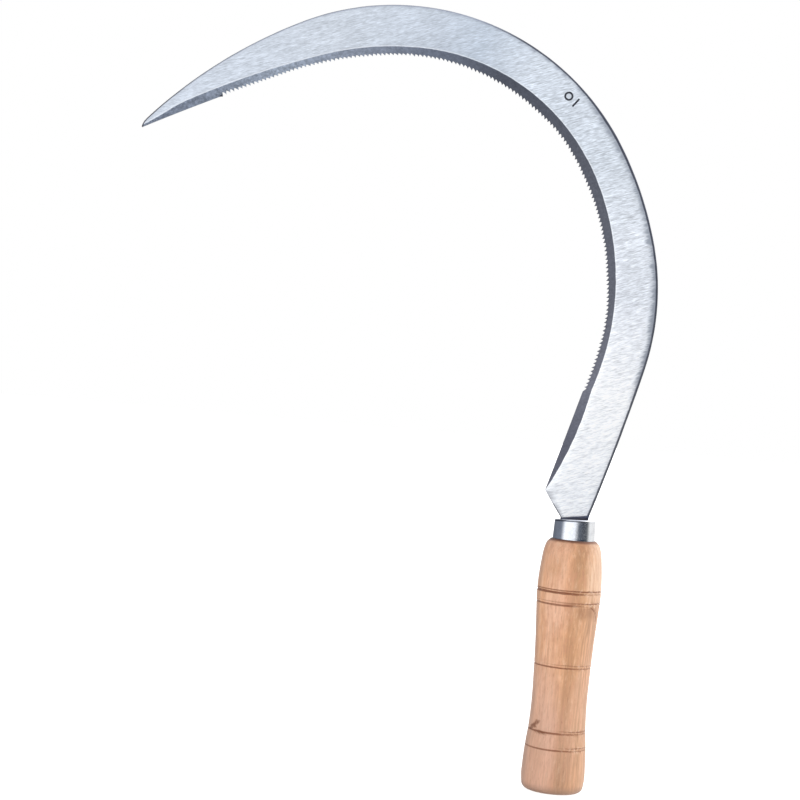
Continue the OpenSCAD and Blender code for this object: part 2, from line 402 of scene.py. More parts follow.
def cut_mark(blade, ink):
    """Cuts a generic mark, a ring beside a short bar, into the front face."""
    a = math.radians(MARK_ANGLE)
    turn = np.array([[math.cos(a), -math.sin(a)], [math.sin(a), math.cos(a)]])
    centre = np.array(MARK_CENTRE)

    def ring(radius, n=48):
        t = np.linspace(0, 2 * math.pi, n, endpoint=False)
        local = np.stack([radius * np.cos(t) - 2.6, radius * np.sin(t)], 1)
        return local @ turn.T + centre

    bar, round_off = [], 0.38
    for cx, cz, start in ((2.75, 2.45, 0), (2.45, 2.45, 90), (2.45, -2.45, 180), (2.75, -2.45, 270)):
        for k in range(5):
            t = math.radians(start + 90 * k / 4)
            bar.append((cx + round_off * math.cos(t), cz + round_off * math.sin(t)))
    bar = np.array(bar) @ turn.T + centre
    mark_depth = 0.22
    low, high = -FRONT - 1.0, -FRONT + mark_depth
    for cutter in (cutter_prism("mark_ring", ring(2.5), low, high, ring(1.45)),
                   cutter_prism("mark_bar", bar, low, high)):
        cutter.data.materials.append(ink)
        mod = blade.modifiers.new("mark", "BOOLEAN")
        mod.operation, mod.solver, mod.material_mode, mod.object = "DIFFERENCE", "EXACT", "TRANSFER", cutter
        apply_modifiers(blade)
        bpy.data.objects.remove(cutter)


def apply_modifiers(obj):
    dg = bpy.context.evaluated_depsgraph_get()
    dg.update()
    done = bpy.data.meshes.new_from_object(obj.evaluated_get(dg), preserve_all_data_layers=True, depsgraph=dg)
    obj.modifiers.clear()
    old = obj.data
    obj.data = done
    done.name = obj.name
    bpy.data.meshes.remove(old)


def blade_attributes(blade):
    """Stores where each vertex lies from the bevel's line, the spine and the edge, in millimetres."""
    mesh = blade.data
    co = np.empty(len(mesh.vertices) * 3, np.float32)
    mesh.vertices.foreach_get("co", co)
    co = co.reshape(-1, 3) / MM
    p = np.stack([co[:, 0], co[:, 2] - MOUTH], 1)

    def nearest(chain, count=1400):
        total = chain_length(chain)
        d = np.linspace(0, total, count)
        pts, ways = zip(*[chain_point(chain, x) for x in d])
        pts, ways = np.array(pts), np.array(ways)
        left = np.stack([-np.sin(ways), np.cos(ways)], 1)
        side, where = np.empty(len(p)), np.empty(len(p))
        for i in range(0, len(p), 2000):
            part = p[i:i + 2000]
            gap = part[:, None, :] - pts[None, :, :]
            k = (gap ** 2).sum(2).argmin(1)
            g = part - pts[k]
            side[i:i + 2000] = (g * left[k]).sum(1)
            where[i:i + 2000] = d[k] + (g * np.stack([np.cos(ways[k]), np.sin(ways[k])], 1)).sum(1)
        return side, where

    past, _ = nearest(BEVEL)
    off, along = nearest(SPINE)
    from_edge, cut_along = nearest(EDGE)
    lowest = p[:, 1] < 15.0  # the neck and the tang have no bevel and no teeth

    def beside(a, b, reach):
        a, b = np.array(a, float), np.array(b, float)
        t = np.clip(((p - a) @ (b - a)) / ((b - a) @ (b - a)), 0, 1)
        gap = np.hypot(*(p - a - t[:, None] * (b - a)).T)
        return np.clip(1.4 - gap / reach, 0, 1)

    heel_end = chain_point(EDGE, 0.0)[0] + (0.9, -1.6)
    neck = np.maximum(beside(HEEL_KINK, NECK_CORNER, 0.55), 0.45 * beside(heel_end, HEEL_KINK, 0.55))
    for name, values in (
        ("past_bevel", np.where(lowest, -9.0, past)),
        ("from_spine", off),
        ("along", along),
        ("from_edge", np.where(lowest, 9.0, -from_edge)),
        ("cut_along", np.where(lowest, 0.0, cut_along)),
        ("depth", co[:, 1] + FRONT),
        ("lift", p[:, 1] * math.cos(CRANK_SKEW) - p[:, 0] * math.sin(CRANK_SKEW) - FOLD_Z),
        ("neck_edge_shade", neck),
    ):
        set_attribute(mesh, name, values)


# ---- handle and ferrule
def catmull(points, per=8):
    """Smooth curve through the points."""
    p = np.array([points[0], *points, points[-1]], float)
    out = []
    for a, b, c, d in zip(p, p[1:], p[2:], p[3:]):
        for t in np.arange(per) / per:
            bent = (2 * a - 5 * b + 4 * c - d) * t * t + (3 * b - a - 3 * c + d) * t ** 3
            out.append(0.5 * (2 * b + (c - a) * t + bent))
    out.append(p[-1])
    return np.array(out)


def build_handle():
    around = 288
    side = catmull([(r * HANDLE_RADIUS, z * HANDLE_LENGTH) for z, r in PROFILE])
    first = side[0]
    heights = {round(first[1] + (side[-1][1] - first[1]) * k / 120, 3) for k in range(121)}
    centres = [share * HANDLE_LENGTH for share, *_ in GROOVE_LINES]
    heights = {z for z in heights if all(abs(z - zc) > LINE_REACH for zc in centres)}
    heights |= {round(zc + k * LINE_STEP, 3) for zc in centres for k in range(-13, 14)}
    heights = sorted(heights)
    kept = [heights[0]]
    for z in heights[1:]:
        if z - kept[-1] > LEAST_STEP:
            kept.append(z)
    heights = np.array(kept)
    radii = np.interp(heights, side[:, 1], side[:, 0])
    angle = np.linspace(0, 2 * math.pi, around, endpoint=False)  # 0 looks to the front (-Y), growing towards +X
    side_angle = np.degrees((angle + math.pi) % (2 * math.pi) - math.pi)
    arc = angle * HANDLE_RADIUS
    rows, burn_and_shade, scar, tear = [], [], [], []

    def add_ring(r, z, b=0.0, s=0.0, t=0.0):
        r = np.broadcast_to(np.asarray(r, float), angle.shape)
        z = np.broadcast_to(np.asarray(z, float), angle.shape)
        rows.append(np.stack([r * np.sin(angle), -r * np.cos(angle), z], 1))
        for store, value in ((burn_and_shade, b), (scar, s), (tear, t)):
            store.append(np.broadcast_to(np.asarray(value, float), angle.shape))

    # flat butt, then its rounded corner
    corner_r, corner_z = first[0], first[1]
    for f in (0.03, 0.3, 0.6, 0.9):
        add_ring((corner_r - corner_z) * f, 0.0)
    for k in range(12):
        a = math.radians(90 * k / 12)
        add_ring(corner_r - corner_z * (1 - math.sin(a)), corner_z - corner_z * math.cos(a))

    # how torn the fibres are round each line, mostly on the front right side
    def torn(seed):
        front, back = bell(np.degrees(angle), 42, 34), 0.5 * bell(np.degrees(angle), 215, 40)
        return np.clip(front + back, 0, 1) * (0.75 + 0.25 * smooth_noise(angle * 6, seed))

    grooves = []
    for g, (share, wide, deep, (left, front, right)) in enumerate(GROOVE_LINES):
        t = torn(50 + g)
        strength = np.interp(side_angle, [-180, -75, -5, 35, 90, 180], [0.6, left, front, right, right, 0.6])
        offset = 0.09 * smooth_noise(angle * 2.2, 70 + g) + t * 0.34 * smooth_noise(arc * 1.5, 80 + g, 2)
        width = wide * (1 + 0.2 * smooth_noise(angle * 5, 90 + g)) * (0.55 + 0.45 * strength)
        depth = deep * (1 + 0.25 * smooth_noise(arc * 1.1, 100 + g, 2)) * strength
        grooves.append((share * HANDLE_LENGTH, offset, width, depth, t, strength))

    for z, r in zip(heights, radii):
        drop = np.zeros(around)
        b = np.zeros(around)
        t_here = np.zeros(around)
        for g, (zc, offset, width, depth, t, strength) in enumerate(grooves):
            if abs(z - zc) > 3:
                continue
            u = np.abs(z - zc - offset) / (width / 2)
            drop = np.maximum(drop, depth * np.clip(1 - u, 0, 1) ** 0.75)
            darkest = 1.0 if zc > DARK_LINES_FROM * HANDLE_LENGTH else 0.75
            b = np.maximum(b, np.clip(1.6 - u, 0, 1) * strength * darkest)
            near = np.clip(1 - np.abs(z - zc) / LINE_REACH, 0, 1)
            fuzz = t * near * smooth_noise(arc * 1.3 + 7 * g + 0.9 * (z - zc), 120 + g, 2)
            drop -= 0.24 * fuzz * (z != heights[0])
            t_here = np.maximum(t_here, t * near)
        wander = 0.05 * smooth_noise(np.full(around, z / 14.0), 7)
        wander = wander + 0.04 * smooth_noise(angle * 1.5 + z / 40, 9)
        # scar beside the fourth groove line, front left
        path_phi = -73 + (z - 33.0) * 4.8 + 2.5 * np.sin(z * 2.1)
        on = bell(side_angle, path_phi, 8.5) * window(z, 32.0, 39.6, 0.6, 1.2)
        on = np.maximum(on, 0.9 * bell(side_angle, -58, 8) * bell(z, 35.0, 1.1))
        on = np.maximum(on, 0.75 * bell(side_angle, -38, 28) * bell(z, 32.6, 1.4))
        # curved tear on the right, below the third groove line
        tear_phi = np.interp(z, [93.5, 95.0, 97.8, 101.2], [61, 63, 62, 43])
        on = np.maximum(on, 0.85 * bell(side_angle, tear_phi, 4.0) * window(z, 93.0, 101.8, 1.0, 0.5))
        # stain between the third pair of lines
        b = np.maximum(b, 0.48 * bell(side_angle, 2, 24) * window(z, 101.4, 103.8, 0.5, 0.5))
        on = on * (0.65 + 0.35 * smooth_noise(arc * 1.1 + z * 2.3, 141, 2))
        drop += 0.22 * on
        add_ring(r - drop + wander, z, b, on, t_here)
    # shoulder, then the nose inside the ferrule, both painted dark as shade from the ferrule
    corner = 0.25
    for f in (0.25, 0.5, 0.75):
        add_ring(radii[-1] + (SHOULDER_RADIUS + corner - radii[-1]) * f,
                 heights[-1] + (HANDLE_LENGTH - corner - heights[-1]) * f, 0.3 + 0.7 * f * f)
    add_ring(SHOULDER_RADIUS + corner, HANDLE_LENGTH - corner, 1.1)
    add_ring(SHOULDER_RADIUS, HANDLE_LENGTH - 0.02, 1.1)
    inner_base, inner_mouth = FERRULE_BASE - FERRULE_WALL - NOSE_GAP, FERRULE_MOUTH - FERRULE_WALL - NOSE_GAP
    add_ring(inner_base + 0.3, HANDLE_LENGTH, 0.8)
    add_ring(inner_base, HANDLE_LENGTH + 0.1, 0.8)
    nose_top = MOUTH - NOSE_RECESS
    nose_r = inner_base + (inner_mouth - inner_base) * (FERRULE_HEIGHT - NOSE_RECESS) / FERRULE_HEIGHT
    add_ring(inner_base + (nose_r - inner_base) * 0.5, (HANDLE_LENGTH + nose_top) / 2, 0.4)
    add_ring(nose_r, nose_top - 0.4, 0.3)
    add_ring(nose_r - 0.4, nose_top, 0.3)
    add_ring(nose_r - 1.2, nose_top, 0.3)

    # the slot that the tang sits in, painted dark as shade inside it
    def slot(half_x, half_y, z):
        s, c = np.abs(np.sin(angle)), np.abs(np.cos(angle))
        r = np.minimum(half_x / np.maximum(s, 1e-6), half_y / np.maximum(c, 1e-6))
        add_ring(r, z, 0.5)

    gap = 0.15
    slot(TANG_WIDTH / 2 + gap + 0.3, SHEET / 2 + gap + 0.2, nose_top)
    slot(TANG_WIDTH / 2 + gap, SHEET / 2 + gap, nose_top - 0.3)
    for k in range(1, 8):
        f = k / 7
        slot(TANG_WIDTH / 2 + gap + (TANG_TIP - TANG_WIDTH) / 2 * f, SHEET / 2 + gap,
             nose_top - (TANG_LENGTH - TANG_TIP) * f)
    slot(0.9, SHEET / 2 + gap, nose_top - TANG_LENGTH - 0.2)

    handle = new_object("sickle_handle", np.concatenate(rows) * MM, capped_tube_faces(len(rows), around), 50)
    for name, store in (("burn_and_shade", burn_and_shade), ("scar", scar), ("torn", tear)):
        set_attribute(handle.data, name, np.concatenate(store))
    return handle


def build_ferrule():
    around = 192
    low, high = HANDLE_TOP, MOUTH
    base, mouth, wall = FERRULE_BASE, FERRULE_MOUTH, FERRULE_WALL
    outline = []

    def arc(cx, cz, r, start, stop, n):
        for k in range(n + 1):
            a = math.radians(start + (stop - start) * k / n)
            outline.append((cx + r * math.cos(a), cz + r * math.sin(a)))

    arc(base - 0.2, low + 0.2, 0.2, -90, 0, 4)
    for k in range(1, 8):
        f = k / 8
        outline.append((base + (mouth - base) * f, low + (high - low) * f))
    arc(mouth - 0.55, high - 0.55, 0.55, 0, 90, 8)
    arc(mouth - wall + 0.22, high - 0.22, 0.22, 90, 180, 4)
    for k in range(1, 6):
        f = k / 6
        outline.append((mouth - wall + (base - mouth) * f, high - (high - low) * f))
    arc(base - wall + 0.15, low + 0.15, 0.15, 180, 270, 3)
    angle = np.linspace(0, 2 * math.pi, around, endpoint=False)
    rows = []
    for r, z in outline:
        dent = 0.02 * smooth_noise(angle * 2.0 + z * 0.1, 21)
        lip = 0.05 * smooth_noise(angle * 1.2, 23) if z > high - 0.5 else 0.0
        rr = np.minimum(r + dent, r)
        rise = (0.22 + 0.38 * np.sin(angle) + 0.55 * np.cos(angle)) * max(0.0, (z - low) / (high - low)) ** 2
        rows.append(np.stack([rr * np.sin(angle), -rr * np.cos(angle), z + rise - np.abs(lip)], 1))
    verts = np.concatenate(rows)
    faces = [tuple(v % len(verts) for v in f) for f in tube_faces(len(rows) + 1, around)]
    ferrule = new_object("sickle_ferrule", verts * MM, faces, 40)
    below = np.concatenate([np.full(around, high - z) for _, z in outline])
    set_attribute(ferrule.data, "below_rim", below)
    return ferrule


# ---- node helpers
class Nodes:
    def __init__(self, tree):
        self.tree = tree

    def node(self, kind, **values):
        made = self.tree.nodes.new(kind)
        for key, value in values.items():
            setattr(made, key, value)
        return made

    def link(self, out, into):
        self.tree.links.new(out, into)

    def put(self, socket, value):
        if hasattr(value, "is_output"):
            self.link(value, socket)
        else:
            socket.default_value = value

    def math(self, operation, a, b=None, c=None, clamp=False):
        made = self.node("ShaderNodeMath", operation=operation, use_clamp=clamp)
        self.put(made.inputs[0], a)
        if b is not None:
            self.put(made.inputs[1], b)
        if c is not None:
            self.put(made.inputs[2], c)
        return made.outputs[0]

    def mul(self, a, *others):
        for b in others:
            a = self.math("MULTIPLY", a, b)
        return a

    def add(self, a, b):
        return self.math("ADD", a, b)

    def mul_add(self, a, b, c):
        return self.math("MULTIPLY_ADD", a, b, c)

    def remap(self, value, low, high, out_low=0.0, out_high=1.0, smooth=True):
        made = self.node("ShaderNodeMapRange", clamp=True)
        made.interpolation_type = "SMOOTHSTEP" if smooth else "LINEAR"
        self.put(made.inputs["Value"], value)
        for name, number in (("From Min", low), ("From Max", high), ("To Min", out_low), ("To Max", out_high)):
            made.inputs[name].default_value = number
        return made.outputs["Result"]

    def fall(self, value, low, high):
        """1 below low, fading to 0 at high."""
        return self.remap(value, low, high, 1.0, 0.0)

    def band(self, value, low, low_full, high_full, high):
        """1 from low_full to high_full, fading to 0 at low and at high."""
        return self.mul(self.remap(value, low, low_full), self.fall(value, high_full, high))

    def mix(self, factor, a, b):
        made = self.node("ShaderNodeMix", data_type="RGBA", clamp_factor=True)
        self.put(made.inputs["Factor"], factor)
        for name, value in (("A", a), ("B", b)):
            socket = [i for i in made.inputs if i.name == name and i.type == "RGBA"][0]
            self.put(socket, value if hasattr(value, "is_output") else (*value, 1.0))
        return [o for o in made.outputs if o.type == "RGBA"][0]

    def attribute(self, name):
        return self.node("ShaderNodeAttribute", attribute_name=name).outputs["Fac"]

    def coords(self, scale, turn=(0, 0, 0), shift=(0, 0, 0)):
        """Object coordinates (the shared frame), turned first and then scaled by a number per metre."""
        tc = self.node("ShaderNodeTexCoord")
        turned = self.node("ShaderNodeMapping", vector_type="POINT")
        turned.inputs["Rotation"].default_value = [math.radians(t) for t in turn]
        self.link(tc.outputs["Object"], turned.inputs["Vector"])
        scaled = self.node("ShaderNodeMapping", vector_type="POINT")
        scaled.inputs["Scale"].default_value = scale
        scaled.inputs["Location"].default_value = shift
        self.link(turned.outputs["Vector"], scaled.inputs["Vector"])
        return scaled.outputs["Vector"]

    def grain(self, scale, detail=3.0, roughness=0.5, **placing):
        return self.noise(self.coords(scale, **placing), detail, roughness)

    def noise(self, where, detail=3.0, roughness=0.5, dims="3D"):
        """Noise at a place, or along a line when dims is "1D"."""
        made = self.node("ShaderNodeTexNoise", noise_dimensions=dims)
        self.link(where, made.inputs["W" if dims == "1D" else "Vector"])
        made.inputs["Scale"].default_value = 1.0
        made.inputs["Detail"].default_value = detail
        made.inputs["Roughness"].default_value = roughness
        return made.outputs["Fac"]

    def grey(self, value, spread):
        """A grey number to multiply a colour by: 1 +- spread, from noise around a half."""
        return self.math("MULTIPLY_ADD", value, 2 * spread, 1 - spread)

    def vector(self, operation, a, b=None):
        made = self.node("ShaderNodeVectorMath", operation=operation)
        self.link(a, made.inputs[0])
        if b is not None:
            made.inputs[1].default_value = b
        return made

    def split(self, vector):
        made = self.node("ShaderNodeSeparateXYZ")
        self.link(vector, made.inputs[0])
        return made.outputs

    def times(self, colour, value):
        made = self.vector("SCALE", colour)
        self.put(made.inputs["Scale"], value)
        return made.outputs[0]

    def bump(self, height, distance, strength=1.0, normal=None):
        made = self.node("ShaderNodeBump")
        made.inputs["Distance"].default_value = distance
        made.inputs["Strength"].default_value = strength
        self.link(height, made.inputs["Height"])
        if normal is not None:
            self.link(normal, made.inputs["Normal"])
        return made.outputs["Normal"]


def ramp_node(n, factor, stops, mode="EASE"):
    made = n.node("ShaderNodeValToRGB")
    ramp = made.color_ramp
    ramp.interpolation = mode
    while len(ramp.elements) < len(stops):
        ramp.elements.new(0.5)
    for element, (at, colour) in zip(ramp.elements, stops):
        element.position = at
        element.color = (*colour, 1)
    n.link(factor, made.inputs["Fac"])
    return made.outputs["Color"]


def fresh_nodes(owner):
    owner.use_nodes = True
    owner.node_tree.nodes.clear()
    return Nodes(owner.node_tree)


def material(name):
    mat = bpy.data.materials.new(name)
    n = fresh_nodes(mat)
    bsdf = n.node("ShaderNodeBsdfPrincipled")
    out = n.node("ShaderNodeOutputMaterial")
    n.link(bsdf.outputs["BSDF"], out.inputs["Surface"])

    def put(name, value):
        n.put(bsdf.inputs[name], value)

    return mat, n, put


# tones along the cutting edge, from the heel to the point: (distance, colour)
FACE_TONES = (
    (0, (0.89, 0.92, 0.96)), (60, (0.945, 0.965, 0.99)), (90, (0.83, 0.86, 0.91)), (108, (0.7, 0.735, 0.795)),
    (135, (0.71, 0.75, 0.81)), (180, (0.595, 0.645, 0.71)), (235, (0.57, 0.62, 0.69)),
    (262, (0.46, 0.518, 0.6)), (285, (0.485, 0.535, 0.61)), (335, (0.52, 0.565, 0.63)),
    (420, (0.535, 0.585, 0.66)),
)
BEVEL_TONES = (
    (30, (0.1, 0.105, 0.135)), (60, (0.148, 0.155, 0.19)), (110, (0.107, 0.114, 0.14)),
    (185, (0.09, 0.097, 0.12)), (245, (0.076, 0.084, 0.108)), (285, (0.155, 0.178, 0.232)),
    (335, (0.325, 0.37, 0.455)), (368, (0.39, 0.45, 0.54)), (420, (0.255, 0.295, 0.375)),
)


def steel_material():
    mat, n, put = material("blade_steel")
    past = n.attribute("past_bevel")
    off = n.attribute("from_spine")
    along = n.attribute("along")
    depth = n.attribute("depth")
    front = n.remap(depth, 1.7, 1.95, 1.0, 0.0, smooth=False)
    place = n.math("DIVIDE", n.attribute("cut_along"), chain_length(EDGE), clamp=True)

    def tones(table):
        return ramp_node(n, place, [(d / chain_length(EDGE), colour) for d, colour in table], "LINEAR")

    # short scratches from the belt, rising towards +X
    mid = n.grain((210, 600, 1500), turn=(0, 20, 0), detail=2, roughness=0.55)
    mid = n.remap(mid, 0.32, 0.68, smooth=False)
    fine = n.grain((430, 700, 3400), turn=(0, 17, 0), shift=(7, 3, 2), detail=2)
    fine = n.remap(fine, 0.3, 0.7, smooth=False)
    broad = n.grain((70, 200, 460), turn=(0, 19, 0), shift=(3, 1, 9), detail=3, roughness=0.55)
    wide = n.remap(broad, 0.32, 0.68, smooth=False)
    base = n.times(tones(FACE_TONES), n.grey(mid, 0.15))
    base = n.times(base, n.grey(fine, 0.16))
    base = n.times(base, n.grey(wide, 0.1))
    rougher = n.mul(n.remap(along, 70, 130), n.remap(along, 260, 310, 0.22, 0.0))
    base = n.times(base, n.mul_add(n.math("SUBTRACT", mid, 0.5), rougher, 1.0))
    # deeper blue-grey strokes that fade in from the spine
    stroke = n.mul_add(mid, 2.2, n.mul_add(wide, 2.4, -2.3))
    deep = n.mul(n.remap(along, 60, 85, 0.15, 1.0), n.remap(along, 190, 210, 2.05, 2.35),
                 n.remap(along, 225, 256, 1.0, 0.22), n.fall(along, 285, 315))
    reach = n.math("SUBTRACT", n.add(stroke, deep), off)
    part = n.mul(n.remap(along, 55, 85, 0.3, 1.0), n.remap(along, 290, 420, 1.0, 0.4))
    base = n.mix(n.mul(n.remap(reach, -2.6, 0.7, 0.0, 0.92), part), base, (0.27, 0.3, 0.355))
    # painted highlight: a thin bright line where the bevel begins, on the front face only
    wave = n.grain((260,) * 3, detail=2)
    line_at = n.add(past, n.mul_add(wave, 0.4, -0.2))
    bright = n.mul(n.band(line_at, -0.9, -0.3, -0.2, 0.0), front, 0.35)
    base = n.mix(bright, base, (0.92, 0.95, 0.98))
    # ground bevel: dark slate by the handle, paler towards the point
    mottle = n.grain((900,) * 3, detail=4, roughness=0.6)
    blotch = n.remap(n.grain((520, 520, 640), shift=(6, 2, 4), detail=3, roughness=0.6), 0.32, 0.68)
    slate = n.times(tones(BEVEL_TONES), n.grey(mottle, 0.35))
    slate = n.times(slate, n.grey(mid, 0.08))
    far_part = n.remap(along, 300, 460, 0.05, 0.26)
    slate = n.times(slate, n.add(1.0, n.mul(n.mul_add(blotch, 2.0, -1.0), far_part)))
    on_bevel = n.mul(n.remap(line_at, -0.1, 0.08), front)
    base = n.mix(on_bevel, base, slate)
    # dark burr beside the last gullet
    beside_gullet = n.math("ABSOLUTE", n.math("SUBTRACT", n.attribute("cut_along"), TEETH_TO + 0.75))
    burr = n.mul(n.fall(beside_gullet, 0.7, 1.5), n.fall(n.attribute("from_edge"), 0.4, 1.1), 0.9)
    base = n.mix(burr, base, (0.06, 0.065, 0.085))
    # painted shade: the rounded and sheared outer edge is painted as a dark line along the spine, the shade on
    # its curve
    rim_width = n.mul_add(wave, 0.5, n.remap(along, 285, 330, 0.72, 0.42))
    rim_width = n.add(rim_width, n.remap(along, 236, 258, 0.2, 0.0))
    rim_width = n.add(rim_width, n.mul(n.remap(along, 185, 205), n.remap(along, 228, 245, 0.18, 0.0)))
    rim_shade = n.fall(n.math("SUBTRACT", off, rim_width), -0.12, 0.28)
    rim_tone = n.math("MAXIMUM", n.remap(along, 285, 325, 0.95, 0.68), n.remap(along, 430, 512, 0.0, 0.95))
    rim_shade_colour = n.mix(n.remap(along, 90, 130, 0.25, 0.0), (0.045, 0.05, 0.072), (0.3, 0.32, 0.38))
    rim_shade_colour = n.mix(n.remap(along, 285, 325), rim_shade_colour, (0.22, 0.24, 0.31))
    rim_shade_colour = n.mix(n.remap(along, 430, 512), rim_shade_colour, (0.09, 0.09, 0.11))
    base = n.mix(n.mul(rim_shade, rim_tone), base, rim_shade_colour)
    # painted shade: the crank's slanted foot, in shadow as it looks down at the dark collar, is painted dark
    # and less metallic; a dark line is painted along the neck's sheared side
    foot_shade = n.fall(n.mul_add(wave, 0.3, n.attribute("lift")), 0.25, 0.65)
    base = n.mix(n.mul(foot_shade, 0.95), base, (0.095, 0.125, 0.215))
    base = n.mix(n.math("MULTIPLY", n.attribute("neck_edge_shade"), 1.05, clamp=True), base, (0.07, 0.075, 0.1))
    put("Base Color", base)
    put("Metallic", n.mul_add(foot_shade, -0.75, 0.9))
    put("Roughness", n.add(n.mul_add(mid, 0.1, 0.33), n.mul(on_bevel, 0.05)))
    normal = n.bump(broad, 0.0001, 0.4, n.bump(mid, 0.00003, 0.5))
    put("Normal", n.bump(mottle, 0.00002, 0.5, normal))
    return mat


def ink_material():
    mat, n, put = material("mark_fill")
    grain = n.grain((3000,) * 3, detail=3)
    put("Base Color", n.mix(grain, (0.018, 0.022, 0.035), (0.032, 0.038, 0.055)))
    put("Roughness", n.mul_add(grain, 0.2, 0.5))
    put("Normal", n.bump(grain, 0.00003))
    return mat


def ferrule_material():
    mat, n, put = material("ferrule_steel")
    turned = n.grain((60, 60, 9000), detail=3, roughness=0.6)
    blot = n.grain((260,) * 3, detail=4, roughness=0.55)
    colour = n.mix(n.remap(blot, 0.35, 0.7), (0.8, 0.83, 0.87), (0.7, 0.73, 0.78))
    colour = n.times(colour, n.grey(turned, 0.06))
    # painted shade and reflection: a dark line below the rim's lip, and the lip painted grey, both strongest on
    # the left and in the middle
    below = n.add(n.attribute("below_rim"), n.mul_add(blot, 0.4, -0.2))
    x, _, _ = n.split(n.node("ShaderNodeTexCoord").outputs["Object"])
    side = n.fall(x, 0.0035, 0.0065)
    shade_line = n.band(below, 0.45, 0.65, 0.95, 1.3)
    lip = n.fall(below, 0.4, 0.6)
    colour = n.mix(n.mul(lip, side, 0.6), colour, (0.25, 0.27, 0.34))
    colour = n.mix(n.mul(shade_line, side, 0.92), colour, (0.05, 0.055, 0.085))
    put("Base Color", colour)
    put("Metallic", 1.0)
    put("Roughness", n.mul_add(blot, 0.1, 0.08))
    normal = n.bump(turned, 0.000012, 0.6)
    put("Normal", n.bump(blot, 0.00012, 0.35, normal))
    return mat


